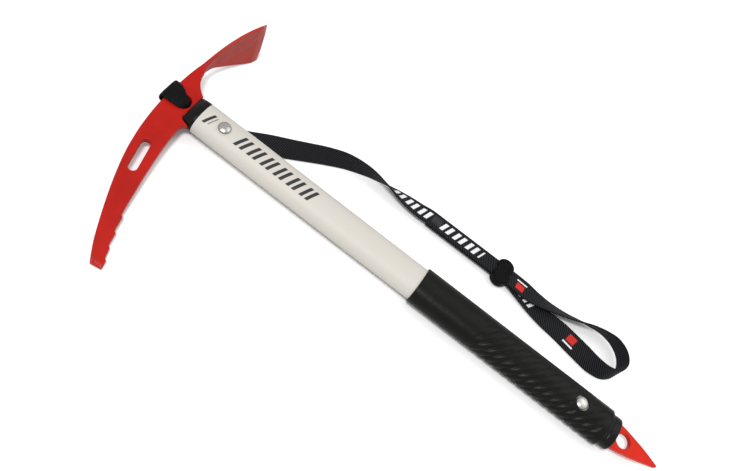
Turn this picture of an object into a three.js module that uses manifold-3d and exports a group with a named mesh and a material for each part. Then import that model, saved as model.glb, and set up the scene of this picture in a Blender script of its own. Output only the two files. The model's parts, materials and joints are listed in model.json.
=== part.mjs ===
// Ice axe lying on its side with its wrist leash laid out beside it. Millimetres, +Z up.
// The tool frame has x along the shaft from the top of the head to the tip of the spike,
// y in the plane of the pick towards the adze, and z square to that plane.
import * as THREE from "three";
import { mergeVertices } from "three/addons/utils/BufferGeometryUtils.js";
import Module from "manifold-3d";

const wasm = await Module();
wasm.setup();

const GAP = 0.3;
const TOTAL_LENGTH = 550;
// Shaft, grip and the pieces in their ends: half sizes of the oval sections
const OVAL_POWER = 2.2;
const TUBE_OVAL = [16.6, 11.2];
const TUBE_WALL = 1.5;
const TUBE_START = 37;
const TUBE_END = 492;
const GRIP_OVAL = [18.6, 13.2];
const GRIP_START = 281.5;
const GRIP_END = 490.5;
const COLLAR_START = 25;
const FERRULE_END = 503.5;
const PACKER_LENGTH = 42;
// Head
const HEAD_THICKNESS = 7;
const PICK_TIP_THICKNESS = 4;
const PICK_TAPER_START = -45;
const TANG_HALF_WIDTH = 10;
const TANG_END = 78;
const HEAD_HOLE = { x: 14, y: 3.5, radius: 7.5 };
const PICK_SLOT = { from: [19.3, -54.5], to: [25.4, -78.3], radius: 4.2 };
const TOOTH_STEP = [-2.1, 1];
const TOOTH_CRESTS = [[65.2, -157], [60, -146.8], [55, -133.8], [49.6, -119.3]];
const ADZE = { start: 38, edge: 104, halfWidth: 28.2, neckHalfWidth: 3.5, crown: 5, cup: 1.2, thickness: 3 };
// Fall of the adze towards the shaft along its length: constant, linear and square terms
const ADZE_DROOP = [1.9, 0.17, 0.0027];
// Spike
const SPIKE_THICKNESS = 6;
const SPIKE_TANG_THICKNESS = 5;
const SPIKE_HALF_HEIGHT = 13;
const SPIKE_TANG_START = 442;
const SPIKE_EYE = { x: 512.5, y: 0, radius: 7 };
// Rivets
const RIVET = { shank: 3, head: 6, dome: 2.6, tail: 1.5, hole: 3.4 };
const HEAD_RIVET_X = 61;
const SPIKE_RIVET_X = 460;
// Leash: webbing, keeper and stitching
const WEBBING_WIDTH = 19;
const WEBBING_THICKNESS = 1.6;
const LAYER_OFFSET = 1.1;
const LEASH_STEPS = 80;
const LEASH_TILT = 6;
const LEASH_LINE = { y: 104, z: 6 };
const SLIDER = { x: 69, length: 18, width: 31, thickness: 9 };
const LOOP_SEAM_X = -14;
const SEAM = { length: 11, width: 10, thickness: 0.6 };
const ANCHOR = { y: 3.5, width: 12.4, top: -3, bar: 14.7, end: 17.2, outside: 6.8, inside: 4.2 };
// Points that touch the table: pick tip, lower corner of the adze and end of the grip
const SUPPORTS = [[60, -165, -2], [25, 103, -28.2], [488, -4, -13.2]];

// Middle of the webbing, [x, y, z, roll]: roll turns its width from the left of travel upwards.
const LEASH_ROUTE = [
  [-256, 32.5, 8, 0], [-246, 33, 5.2, 0], [-234, 34, 3, 0], [-222, 38, 2, 0],
  [-209, 43.5, 1.9, 2], [-196, 50.5, 2.3, 8], [-182, 57.5, 4.5, 20], [-164, 65.5, 7.6, 42],
  [-147, 75.5, 9, 53], [-130, 86, 9.5, 60], [-112.5, 94.5, 10.1, 74], [-90.5, 100, 10.4, 98],
  [-70.5, 102, 9.1, 124], [-47, 103, 7, 156], [-29, 103.5, 6.4, 170],
];
const LOOP_ROUTE = [
  [96, 104, 6.2, 176], [111, 104, 6, 163], [126, 105.5, 6.8, 147], [143, 108.5, 8, 134],
  [156.5, 112, 8.9, 126], [168.5, 115.5, 9.7, 117], [182.5, 118, 10.1, 111], [196, 116.5, 10.6, 100],
  [207.5, 109, 10.7, 90], [212.5, 98, 10.6, 84], [210, 87, 10.7, 92], [200.5, 80.5, 10.2, 108],
  [187.5, 80, 9.1, 124], [170, 84.5, 7, 142], [144, 90.5, 4.9, 157], [126, 93, 3.6, 173],
  [110, 96.5, 3, 180], [97, 100, 3.6, 183],
];
const STRAIGHT_X = [-18, -4, 20, 45, 70, 80];

function solidOf(geometry) {
  const bare = geometry.clone();
  bare.deleteAttribute("normal");
  bare.deleteAttribute("uv");
  const merged = mergeVertices(bare, 1e-4);
  return new wasm.Manifold(new wasm.Mesh({
    numProp: 3,
    vertProperties: merged.attributes.position.array,
    triVerts: new Uint32Array(merged.index.array),
  }));
}

function geometryOf(solid) {
  const mesh = solid.getMesh();
  const geometry = new THREE.BufferGeometry();
  geometry.setAttribute("position", new THREE.BufferAttribute(mesh.vertProperties, 3));
  geometry.setIndex(new THREE.BufferAttribute(mesh.triVerts, 1));
  const flat = geometry.toNonIndexed();
  flat.computeVertexNormals();
  return flat;
}

function cut(geometry, ...tools) {
  const solid = tools.reduce((left, tool) => left.subtract(solidOf(tool)), solidOf(geometry));
  return geometryOf(solid);
}

function finish(color, roughness, metalness) {
  return new THREE.MeshStandardMaterial({ color, roughness, metalness, flatShading: true });
}

const RED_PAINT = finish(0xb8241a, 0.45, 0.2);
const WHITE_PAINT = finish(0xd6d2c8, 0.5, 0.3);
const BLACK_RUBBER = finish(0x222120, 0.7, 0);
const BLACK_PLASTIC = finish(0x1b1b1c, 0.45, 0);
const STEEL = finish(0xb9b8b4, 0.3, 1);
const WEBBING = finish(0x1a1a1d, 0.9, 0);
const THREAD = finish(0x151517, 0.8, 0);

function piece(name, geometry, material) {
  const mesh = new THREE.Mesh(geometry, material);
  mesh.name = name;
  return mesh;
}

// Oval cross-section, its half sizes along y and z of the tool frame.
function ovalPoints([halfY, halfZ], steps = 40) {
  return Array.from({ length: steps }, (_, i) => {
    const angle = (2 * Math.PI * i) / steps;
    const c = Math.cos(angle);
    const s = Math.sin(angle);
    const y = Math.sign(c) * halfY * Math.abs(c) ** (2 / OVAL_POWER);
    const z = Math.sign(s) * halfZ * Math.abs(s) ** (2 / OVAL_POWER);
    return new THREE.Vector2(y, z);
  });
}

// Extrudes a section drawn in y and z along x, from one x to another.
function alongShaft(shape, from, to, bevel = 0) {
  const geometry = new THREE.ExtrudeGeometry(shape, {
    depth: to - from - 2 * bevel,
    steps: 1,
    bevelEnabled: bevel > 0,
    bevelThickness: bevel,
    bevelSize: bevel,
    bevelOffset: -bevel,
    bevelSegments: 2,
  });
  const axes = new THREE.Matrix4().set(0, 0, 1, from + bevel, 1, 0, 0, 0, 0, 1, 0, 0, 0, 0, 0, 1);
  return geometry.applyMatrix4(axes);
}

// Extrudes an outline drawn in x and y to a plate centred on z = 0.
function plate(shape, thickness) {
  const geometry = new THREE.ExtrudeGeometry(shape, { depth: thickness, bevelEnabled: false, curveSegments: 10 });
  return geometry.translate(0, 0, -thickness / 2);
}

function block(x0, x1, y0, y1, z0, z1) {
  const box = new THREE.BoxGeometry(x1 - x0, y1 - y0, z1 - z0);
  return box.translate((x0 + x1) / 2, (y0 + y1) / 2, (z0 + z1) / 2);
}

// Round bar through the plane of the pick.
function crossBar(x, y, radius, halfLength, sides = 24) {
  return new THREE.CylinderGeometry(radius, radius, 2 * halfLength, sides).rotateX(Math.PI / 2).translate(x, y, 0);
}

function shrunk([halfY, halfZ], by) {
  return [halfY - by, halfZ - by];
}

function slotShape({ from, to, radius }) {
  const start = new THREE.Vector2(...from);
  const end = new THREE.Vector2(...to);
  const angle = end.clone().sub(start).angle();
  const shape = new THREE.Shape();
  shape.absarc(start.x, start.y, radius, angle + Math.PI / 2, angle + 1.5 * Math.PI);
  shape.absarc(end.x, end.y, radius, angle - Math.PI / 2, angle + Math.PI / 2);
  shape.closePath();
  return shape;
}

// Pick, body, neck and tang, all in one plane.
function headOutline() {
  const shape = new THREE.Shape();
  shape.moveTo(1.7, ADZE.start + 1);
  shape.quadraticCurveTo(0.3, 22, 0.3, 0);
  shape.quadraticCurveTo(0.3, -22, 5.6, -49);
  shape.splineThru([[10.8, -69.3], [17.8, -89.3], [26.2, -109.4], [35.6, -129.5], [46.2, -149.6],
    [56.8, -165.4]].map((p) => new THREE.Vector2(...p)));
  shape.lineTo(67.4, -163.6);
  for (const [x, y] of TOOTH_CRESTS) {
    shape.lineTo(x, y);
    shape.lineTo(x + TOOTH_STEP[0], y + TOOTH_STEP[1]);
  }
  shape.splineThru([[41, -91], [36, -68], [31.2, -41], [29.4, -23.5]].map((p) => new THREE.Vector2(...p)));
  shape.quadraticCurveTo(29.1, -18, 34.2, -16.5);
  shape.lineTo(31, -15.4);
  shape.lineTo(26.6, -14);
  shape.lineTo(COLLAR_START, -12);
  shape.lineTo(COLLAR_START, -TANG_HALF_WIDTH);
  shape.lineTo(TANG_END, -TANG_HALF_WIDTH);
  shape.lineTo(TANG_END, TANG_HALF_WIDTH);
  shape.lineTo(COLLAR_START, TANG_HALF_WIDTH);
  shape.lineTo(COLLAR_START, 16.8);
  shape.bezierCurveTo(17, 20, 9.3, 27, 8.9, ADZE.start + 1);
  return shape;
}

// Adze blade: a box bent along its length, widened from the neck, cupped and sharpened.
function adzeBlade() {
  const box = new THREE.BoxGeometry(1, 1, 1, 12, 12, 1);
  const p = box.attributes.position;
  for (let i = 0; i < p.count; i += 1) {
    const s = p.getX(i) + 0.5;
    const across = 2 * p.getY(i);
    const depth = p.getZ(i) + 0.5;
    const grow = Math.sin((Math.PI / 2) * s) ** 1.4;
    const half = ADZE.neckHalfWidth + (ADZE.halfWidth - ADZE.neckHalfWidth) * grow;
    const along = s * (ADZE.edge - ADZE.start) + ADZE.crown * s ** 3 * (1 - across ** 2);
    const neckThickness = ADZE.thickness + 4 * (1 - Math.min(s / 0.3, 1)) ** 1.5;
    const thickness = neckThickness * (1 - 0.65 * Math.max(0, (s - 0.9) / 0.1));
    const slope = Math.atan(ADZE_DROOP[1] + 2 * ADZE_DROOP[2] * along);
    const cup = ADZE.cup * s * (across ** 2 - 1);
    const droop = ADZE_DROOP[0] + ADZE_DROOP[1] * along + ADZE_DROOP[2] * along ** 2 + cup;
    const x = droop + depth * thickness * Math.cos(slope);
    const y = ADZE.start + along - depth * thickness * Math.sin(slope);
    p.setXYZ(i, x, y, across * half);
  }
  return box;
}

function wedge(side) {
  const length = 140;
  const taper = Math.atan((HEAD_THICKNESS - PICK_TIP_THICKNESS) / 2 / 120);
  const box = new THREE.BoxGeometry(120, length, 10);
  box.translate(20, -length / 2, 5).rotateX(side * taper);
  if (side < 0) box.translate(0, 0, -10);
  return box.translate(0, PICK_TAPER_START, (side * HEAD_THICKNESS) / 2);
}

function head() {
  const flat = cut(
    plate(headOutline(), HEAD_THICKNESS),
    crossBar(HEAD_HOLE.x, HEAD_HOLE.y, HEAD_HOLE.radius, HEAD_THICKNESS, 32),
    plate(slotShape(PICK_SLOT), 2 * HEAD_THICKNESS),
    crossBar(HEAD_RIVET_X, 0, RIVET.hole, HEAD_THICKNESS),
    wedge(1),
    wedge(-1),
  );
  return piece("head", geometryOf(solidOf(flat).add(solidOf(adzeBlade()))), RED_PAINT);
}

function headCollar() {
  const oval = new THREE.Shape(ovalPoints(TUBE_OVAL));
  const clearance = new THREE.Shape([[20, -24], [20, -11.7], [COLLAR_START + 0.2, -11.7], [26.8, -13.7],
    [31.2, -15.1], [34.8, -16.3], [36, -24]].map((p) => new THREE.Vector2(...p)));
  const slot = block(20, 40, -TANG_HALF_WIDTH - GAP, TANG_HALF_WIDTH + GAP,
    -HEAD_THICKNESS / 2 - GAP, HEAD_THICKNESS / 2 + GAP);
  const body = alongShaft(oval, COLLAR_START + GAP, TUBE_START - GAP, 0.6);
  return piece("head_collar", cut(body, slot, plate(clearance, 40)), BLACK_PLASTIC);
}

function shaftTube() {
  const section = new THREE.Shape(ovalPoints(TUBE_OVAL));
  section.holes.push(new THREE.Path(ovalPoints(shrunk(TUBE_OVAL, TUBE_WALL))));
  const tube = alongShaft(section, TUBE_START, TUBE_END);
  const holes = [HEAD_RIVET_X, SPIKE_RIVET_X].map((x) => crossBar(x, 0, RIVET.hole, 20));
  return piece("shaft_tube", cut(tube, ...holes), WHITE_PAINT);
}

function gripSleeve() {
  const section = new THREE.Shape(ovalPoints(GRIP_OVAL));
  section.holes.push(new THREE.Path(ovalPoints(shrunk(TUBE_OVAL, -GAP))));
  const sleeve = alongShaft(section, GRIP_START, GRIP_END);
  return piece("grip_sleeve", cut(sleeve, crossBar(SPIKE_RIVET_X, 0, RIVET.head + 0.6, 20)), BLACK_RUBBER);
}

// One of the two plastic halves that pack a tang inside the shaft; side is +1 or -1.
function packer(name, side, tangThickness, from, rivetX) {
  const oval = new THREE.Shape(ovalPoints(shrunk(TUBE_OVAL, TUBE_WALL + GAP)));
  const reach = tangThickness / 2 + GAP;
  const half = block(from - 1, from + PACKER_LENGTH + 1, -20, 20, side > 0 ? -20 : -reach, side > 0 ? reach : 20);
  const body = alongShaft(oval, from, from + PACKER_LENGTH);
  return piece(name, cut(body, half, crossBar(rivetX, 0, RIVET.hole, 20)), BLACK_PLASTIC);
}

function rivet(name, x) {
  const seat = TUBE_OVAL[1] + GAP;
  const { shank, head: rim, dome, tail } = RIVET;
  const cap = (height) => Array.from({ length: 7 }, (_, i) => {
    const angle = (i / 6) * (Math.PI / 2);
    return [i < 6 ? rim * Math.cos(angle) : 0, seat + 0.5 + (height - 0.5) * Math.sin(angle)];
  });
  const front = [[shank, seat], [rim, seat], ...cap(dome)];
  const back = [[shank, seat], [rim, seat], ...cap(tail)].reverse().map(([r, h]) => [r, -h]);
  const profile = [...back, ...front].map(([r, h]) => new THREE.Vector2(r, h));
  const geometry = new THREE.LatheGeometry(profile, 24).rotateX(Math.PI / 2).translate(x, 0, 0);
  return piece(name, geometryOf(solidOf(geometry)), STEEL);
}

function endFerrule() {
  const oval = new THREE.Shape(ovalPoints(shrunk(TUBE_OVAL, 0.2)));
  const body = alongShaft(oval, TUBE_END + GAP, FERRULE_END, 1.6);
  const slot = block(TUBE_END - 5, FERRULE_END + 5, -TANG_HALF_WIDTH - GAP, TANG_HALF_WIDTH + GAP,
    -SPIKE_TANG_THICKNESS / 2 - GAP, SPIKE_TANG_THICKNESS / 2 + GAP);
  return piece("end_ferrule", cut(body, slot), BLACK_PLASTIC);
}

function spike() {
  const root = FERRULE_END + GAP;
  const blade = new THREE.Shape();
  blade.moveTo(root, -SPIKE_HALF_HEIGHT);
  blade.quadraticCurveTo(528, -8.3, TOTAL_LENGTH - 1.2, -1.2);
  blade.quadraticCurveTo(TOTAL_LENGTH + 0.2, 0, TOTAL_LENGTH - 1.2, 1.2);
  blade.quadraticCurveTo(528, 8.3, root, SPIKE_HALF_HEIGHT);
  blade.closePath();
  const tang = block(SPIKE_TANG_START, root + 1, -TANG_HALF_WIDTH, TANG_HALF_WIDTH,
    -SPIKE_TANG_THICKNESS / 2, SPIKE_TANG_THICKNESS / 2);
  const whole = geometryOf(solidOf(plate(blade, SPIKE_THICKNESS)).add(solidOf(tang)));
  const eye = crossBar(SPIKE_EYE.x, SPIKE_EYE.y, SPIKE_EYE.radius, SPIKE_THICKNESS, 32);
  const rivetHole = crossBar(SPIKE_RIVET_X, 0, RIVET.hole, SPIKE_THICKNESS);
  return piece("spike", cut(whole, eye, rivetHole), RED_PAINT);
}

// Closed loop of webbing through the head hole and over the top of the head.
function anchorLoop() {
  const { y, width, top, bar, end, outside, inside } = ANCHOR;
  const outer = new THREE.Shape();
  outer.moveTo(top + 3, -outside);
  outer.lineTo(end - 2, -outside);
  outer.quadraticCurveTo(end, -outside, end, -outside + 2);
  outer.lineTo(end, outside - 2);
  outer.quadraticCurveTo(end, outside, end - 2, outside);
  outer.lineTo(top + 3, outside);
  outer.quadraticCurveTo(top, outside, top, outside - 3);
  outer.lineTo(top, -outside + 3);
  outer.quadraticCurveTo(top, -outside, top + 3, -outside);
  const inner = new THREE.Path();
  inner.moveTo(top + 2.4, -inside);
  inner.lineTo(top + 2.4, inside);
  inner.lineTo(bar, inside);
  inner.lineTo(bar, -inside);
  inner.closePath();
  outer.holes.push(inner);
  const loop = new THREE.ExtrudeGeometry(outer, { depth: width, bevelEnabled: false, curveSegments: 4 });
  loop.rotateX(Math.PI / 2).translate(0, y + width / 2, 0);
  return piece("anchor_loop", geometryOf(solidOf(loop)), WEBBING);
}

// Curve whose frames hold the webbing's width direction and its normal.
class WebbingPath extends THREE.CatmullRomCurve3 {
  constructor(route) {
    super(route.map(([x, y, z]) => new THREE.Vector3(x, y, z)), false, "centripetal");
    this.rolls = route.map((stop) => stop[3]);
  }

  rollAt(t) {
    const place = t * (this.rolls.length - 1);
    const i = Math.min(Math.floor(place), this.rolls.length - 2);
    return THREE.MathUtils.degToRad(THREE.MathUtils.lerp(this.rolls[i], this.rolls[i + 1], place - i));
  }

  computeFrenetFrames(segments) {
    const frames = { tangents: [], normals: [], binormals: [] };
    for (let i = 0; i <= segments; i += 1) {
      const t = this.getUtoTmapping(i / segments);
      const tangent = this.getTangent(t).normalize();
      const left = new THREE.Vector3(-tangent.y, tangent.x, 0).normalize();
      const up = new THREE.Vector3().crossVectors(tangent, left);
      const roll = this.rollAt(t);
      const width = left.multiplyScalar(Math.cos(roll)).addScaledVector(up, Math.sin(roll));
      frames.tangents.push(tangent);
      frames.normals.push(width);
      frames.binormals.push(new THREE.Vector3().crossVectors(tangent, width));
    }
    return frames;
  }
}

// The straight double stretch: upper layer at +1, lower layer at -1.
function straightStops(layer) {
  const tilt = THREE.MathUtils.degToRad(LEASH_TILT);
  const y = LEASH_LINE.y + layer * LAYER_OFFSET * Math.sin(tilt);
  const z = LEASH_LINE.z + layer * LAYER_OFFSET * Math.cos(tilt);
  const stops = STRAIGHT_X.map((x) => [x, y, z, 180 - layer * LEASH_TILT]);
  return layer > 0 ? stops : stops.reverse();
}

function leashWebbing() {
  const route = [...LEASH_ROUTE, ...straightStops(1), ...LOOP_ROUTE, ...straightStops(-1)];
  const path = new WebbingPath(route);
  const section = new THREE.Shape([[-1, -1], [1, -1], [1, 1], [-1, 1]].map(([a, b]) =>
    new THREE.Vector2((a * WEBBING_WIDTH) / 2, (b * WEBBING_THICKNESS) / 2)));
  const strap = new THREE.ExtrudeGeometry(section, { steps: LEASH_STEPS, extrudePath: path });
  return piece("leash_webbing", strap, WEBBING);
}

// A block of thread on the upper face of the double webbing.
function seam(name, x, y, z, tilt) {
  const block = new THREE.BoxGeometry(SEAM.length, SEAM.width, SEAM.thickness);
  const mesh = piece(name, block, THREAD);
  mesh.position.set(x, y, z);
  mesh.rotation.x = THREE.MathUtils.degToRad(tilt);
  return mesh;
}

function strapSlider() {
  const { length, width, thickness, x } = SLIDER;
  const outline = new THREE.Shape();
  const straight = width / 2 - length / 2;
  outline.absarc(0, straight, length / 2, 0, Math.PI);
  outline.absarc(0, -straight, length / 2, Math.PI, 2 * Math.PI);
  outline.closePath();
  const body = new THREE.ExtrudeGeometry(outline, {
    depth: thickness - 4,
    bevelThickness: 2,
    bevelSize: 2,
    bevelOffset: -2,
    bevelSegments: 3,
    curveSegments: 12,
  }).translate(0, 0, 2 - thickness / 2);
  const slotHalf = LAYER_OFFSET + WEBBING_THICKNESS / 2 + GAP;
  const slot = block(-20, 20, -WEBBING_WIDTH / 2 - GAP, WEBBING_WIDTH / 2 + GAP, -slotHalf, slotHalf);
  const mesh = piece("strap_slider", cut(body, slot), BLACK_PLASTIC);
  mesh.position.set(x, LEASH_LINE.y, LEASH_LINE.z);
  mesh.rotation.x = THREE.MathUtils.degToRad(-LEASH_TILT);
  return mesh;
}

// Turns the tool so that its three support points lie on the table, z = 0.
function layOnTable(tool) {
  const [pick, adze, grip] = SUPPORTS.map((p) => new THREE.Vector3(...p));
  const up = new THREE.Vector3().crossVectors(grip.clone().sub(pick), adze.clone().sub(pick)).normalize();
  const along = new THREE.Vector3(1, 0, 0).addScaledVector(up, -up.x).normalize();
  const across = new THREE.Vector3().crossVectors(up, along);
  const turned = new THREE.Matrix4().makeBasis(along, across, up).invert();
  tool.quaternion.setFromRotationMatrix(turned);
  const box = new THREE.Box3().setFromObject(tool, true);
  const middle = box.getCenter(new THREE.Vector3());
  tool.position.set(-middle.x, -middle.y, -box.min.z);
}

const tool = new THREE.Group();
tool.add(head(), headCollar(), shaftTube(), gripSleeve(), endFerrule(), spike(), anchorLoop());
tool.add(rivet("head_rivet", HEAD_RIVET_X), rivet("spike_rivet", SPIKE_RIVET_X));
tool.add(packer("tang_packer_front", 1, HEAD_THICKNESS, TUBE_START + 2, HEAD_RIVET_X));
tool.add(packer("tang_packer_back", -1, HEAD_THICKNESS, TUBE_START + 2, HEAD_RIVET_X));
const spikePackerStart = TUBE_END - PACKER_LENGTH - 2;
tool.add(packer("spike_packer_front", 1, SPIKE_TANG_THICKNESS, spikePackerStart, SPIKE_RIVET_X));
tool.add(packer("spike_packer_back", -1, SPIKE_TANG_THICKNESS, spikePackerStart, SPIKE_RIVET_X));
layOnTable(tool);

const tiltSin = Math.sin(THREE.MathUtils.degToRad(LEASH_TILT));
const seamLift = LAYER_OFFSET + WEBBING_THICKNESS / 2 + GAP + SEAM.thickness / 2;
const iceAxe = new THREE.Group();
iceAxe.add(tool, leashWebbing(), strapSlider());
iceAxe.add(seam("loop_bartack", LOOP_SEAM_X + 4, LEASH_LINE.y + seamLift * tiltSin,
  LEASH_LINE.z + seamLift * Math.cos(THREE.MathUtils.degToRad(LEASH_TILT)), -LEASH_TILT));

export default iceAxe;
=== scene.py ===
"""Looks of an ice axe with its wrist leash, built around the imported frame.

Lengths are in millimetres where a name or comment says so, and in metres otherwise.
The tool frame has x along the shaft, y towards the adze and z square to the pick's plane.
"""
import json
import math

import bmesh
import bpy
from mathutils import Matrix, Vector

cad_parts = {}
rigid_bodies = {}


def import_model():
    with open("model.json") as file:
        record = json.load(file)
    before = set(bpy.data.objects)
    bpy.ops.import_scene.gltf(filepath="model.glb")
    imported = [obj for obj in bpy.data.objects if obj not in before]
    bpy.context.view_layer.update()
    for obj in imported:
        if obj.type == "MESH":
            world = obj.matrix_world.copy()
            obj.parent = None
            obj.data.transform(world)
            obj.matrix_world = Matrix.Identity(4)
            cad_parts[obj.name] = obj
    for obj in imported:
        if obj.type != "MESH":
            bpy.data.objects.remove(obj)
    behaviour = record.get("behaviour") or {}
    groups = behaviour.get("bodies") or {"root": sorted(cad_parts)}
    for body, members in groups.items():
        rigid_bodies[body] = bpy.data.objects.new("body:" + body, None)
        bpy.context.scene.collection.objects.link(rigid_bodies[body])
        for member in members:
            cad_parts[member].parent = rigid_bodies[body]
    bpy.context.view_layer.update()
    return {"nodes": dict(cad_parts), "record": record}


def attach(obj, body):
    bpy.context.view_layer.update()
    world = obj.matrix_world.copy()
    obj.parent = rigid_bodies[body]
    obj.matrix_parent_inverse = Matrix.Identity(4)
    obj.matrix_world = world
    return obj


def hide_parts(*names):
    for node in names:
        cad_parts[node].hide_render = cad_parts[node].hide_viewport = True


for leftover in list(bpy.data.objects):
    bpy.data.objects.remove(leftover)
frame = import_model()

MM = 0.001
MERGE_WITHIN = 1e-6

# ---------------------------------------------------------------- camera (m)
CAMERA_PLACE = (-0.042638, -0.387499, 0.640889)
CAMERA_RIGHT = (0.795728, 0.502785, 0.337676)
CAMERA_UP = (-0.605598, 0.652879, 0.454973)
CAMERA_LENS = 40.13

# ---------------------------------------------------------------- tool (mm)
# Pairs are reaches along x, ovals half sizes in y and z, and holes x, y and radius.
TOOL_ORIGIN = (-0.273231, 0.027991, 0.018680)
OVAL_POWER = 2.2
TUBE_OVAL = (16.6, 11.2)
TUBE_WALL = 1.5
TUBE = (37, 492)
GRIP_OVAL = (18.6, 13.2)
GRIP = (281.5, 492.0)
COLLAR = (25.3, 36.7)
COLLAR_OVAL = (16.2, 6.6)
COLLAR_SWELL = (0.4, 4.6)
FERRULE = (492.3, 503.5)
HEAD_THICKNESS = 7
TANG_HALF_WIDTH = 10
TANG_END = 78
SPIKE_TANG = (442, 505)
TOTAL_LENGTH = 550
RIVET_PLACES = {"head_rivet": 61, "spike_rivet": 460}
RIVET_BORE = 3.4
RIVET_SEAT = 11.5
RIVET_HEAD = 6
HEAD_BEVEL = 0.7
HEAD_HOLE = (15.2, 0.6, 7.5)
PICK_SLOT = ((19.3, -54.5), (25.4, -78.3), 4.2)
PICK_TAPER = {"start": -45, "length": 120, "tip_thickness": 4}
TOOTH_CRESTS = [(65.2, -157), (60, -146.8), (55, -133.8), (49.6, -119.3)]
TOOTH_STEP = (-2.1, 1)
ADZE = {"start": 38, "length": 66.8, "crown": 2.4, "neck": 3.5, "edge": 28.9, "thickness": 3, "cup": 1.2}
ADZE_DROOP = {"start": 1.9, "slope": 0.17, "bend": 0.0027}
TANG_GAP = 0.3
SPIKE_ROOT = 503.8
SPIKE_EYE = (512.5, 0, 7)
SPIKE_THICKNESS = 6
SPIKE_TANG_THICKNESS = 5
RIB_START = (347, 357)
RIB_END = (482, 487)
RIB_SHOULDER = (352, -12.5)
RIB_PITCH = 8.93
RIB_DEPTH = 1.25
RIB_SLANT = 1.28
RIB_EASES = (-11, 2)
RIB_FADES = (7, 16)
RIVET_CLEARANCE = (8.5, 13)

# ---------------------------------------------------------------- leash (mm)
# Stops of a route are x, y, z in the frame and the strap's roll in degrees.
STRAP_WIDTH = 19
STRAP_THICKNESS = 1.6
LAYER_OFFSET = 1.1
LEASH_TILT = 6
LEASH_LINE = (104, 6)
SLIDER = {"x": 69, "length": 18, "width": 31, "thickness": 9, "bevel": 1.9}
SLIDER_WAIST = {"y": 13.6, "radius": 6.2}
SLIDER_DISH = {"x": 4.6, "y": 8.2, "floor": 3.9}
SLOT_GAP = 0.3
WEAVE_PITCH = 2.1
WEAVE_SLANT = 0.55
WEAVE_COLUMNS = 16
TUCK_X = SLIDER["x"]
LEASH_ROUTE = [
    (-256, 32.5, 8, 0), (-246, 33, 5.2, 0), (-234, 34, 3, 0), (-222, 38, 2, 0),
    (-209, 43.5, 1.9, 2), (-196, 50.5, 2.3, 8), (-182, 57.5, 4.5, 20), (-164, 65.5, 7.6, 42),
    (-147, 75.5, 9, 53), (-130, 86, 9.5, 60), (-112.5, 94.5, 10.1, 74), (-90.5, 100, 10.4, 98),
    (-70.5, 102, 9.1, 124), (-47, 103, 7, 156), (-29, 103.5, 6.4, 170),
]
LOOP_ROUTE = [
    (96, 104, 6.2, 176), (111, 104, 6, 163), (126, 105.5, 6.8, 147), (143, 108.5, 8, 134),
    (156.5, 112, 8.9, 126), (168.5, 115.5, 9.7, 117), (182.5, 118, 10.1, 111), (196, 116.5, 10.6, 100),
    (207.5, 109, 10.7, 90), (212.5, 98, 10.6, 84), (210, 87, 10.7, 92), (200.5, 80.5, 10.2, 108),
    (187.5, 80, 9.1, 124), (170, 84.5, 7, 142), (144, 90.5, 4.9, 157), (126, 93, 3.6, 173),
    (110, 96.5, 3, 180), (97, 100, 3.6, 183),
]
STRAIGHT_X = [-18, -4, 20, 45, 70, 80]
STRAP_STEP = 0.42
BARTACK = {"x": -10, "half_length": 5.0, "half_width": 4.4, "border": 4.7, "turns": 9}
THREAD_RADII = (0.26, 0.24)

# ---------------------------------------------------------------- prints, wear and painted shade (m)
# Shaft prints reach along and across.
SHAFT_BARS = (0.0776, 0.1642), (-0.0068, 0.0062)
SHAFT_MARK = (0.0445, 0.0475), (-0.0078, 0.0048)
SHAFT_DASH = (0.0495, 0.0507), (-0.0066, 0.0036)
SHAFT_BAR_START = 0.0775
SHAFT_BAR_PITCH = 0.0146
SHAFT_BAR_SLANT = 0.42
STRAP_BARS_ACROSS = (-0.0052, 0.0052)
STRAP_BAR_SLANT = 0.35
BLOCK = {"half": 4.5 * MM, "across": (-0.0012, 0.0058)}
LINE = {"half": 6 * MM, "across": (-0.0045, -0.0029)}
# Where the adze's painted shade comes in along y: a browner tone that stands for the shade the adze lies in.
ADZE_SHADE_REACH = (0.040, 0.070)
WORN_EDGE = (0.1045, 0.1072)
WORN_TIP = (0.160, 0.1635)

# ---------------------------------------------------------------- floor and light (m, W)
FLOOR_TONE = 0.84
WORLD_STRENGTH = 0.82
KEY_LIGHT = {"place": (-0.28, -0.76, 1.83), "size": 0.42, "power": 29}
FILL_LIGHT = {"place": (0.9, 0.9, 1.8), "size": 1.6, "power": 12}


# ================================================================ meshes
def tool_place():
    """The tool frame in the row frame, in metres."""
    up = Vector(frame["record"]["mounts"][0]["axis"]).normalized()
    along = Vector((up.z, 0, -up.x)).normalized()
    place = Matrix((along, up.cross(along), up)).transposed().to_4x4()
    place.translation = TOOL_ORIGIN
    return place


TOOL = tool_place()


def add(name, verts, faces, place=None, scale=MM):
    """A smooth mesh object, drawn in mm unless scale says otherwise."""
    mesh = bpy.data.meshes.new(name)
    mesh.from_pydata([Vector(v) * scale for v in verts], [], faces)
    obj = bpy.data.objects.new(name, mesh)
    bpy.context.scene.collection.objects.link(obj)
    tidy(obj)
    if place is not None:
        obj.data.transform(place)
    return obj


def tidy(obj):
    """Merges doubled points, turns every face outwards and shades it smooth."""
    bm = bmesh.new()
    bm.from_mesh(obj.data)
    bmesh.ops.remove_doubles(bm, verts=bm.verts, dist=MERGE_WITHIN)
    bmesh.ops.recalc_face_normals(bm, faces=bm.faces)
    for face in bm.faces:
        face.smooth = True
    bm.to_mesh(obj.data)
    bm.free()


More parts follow.
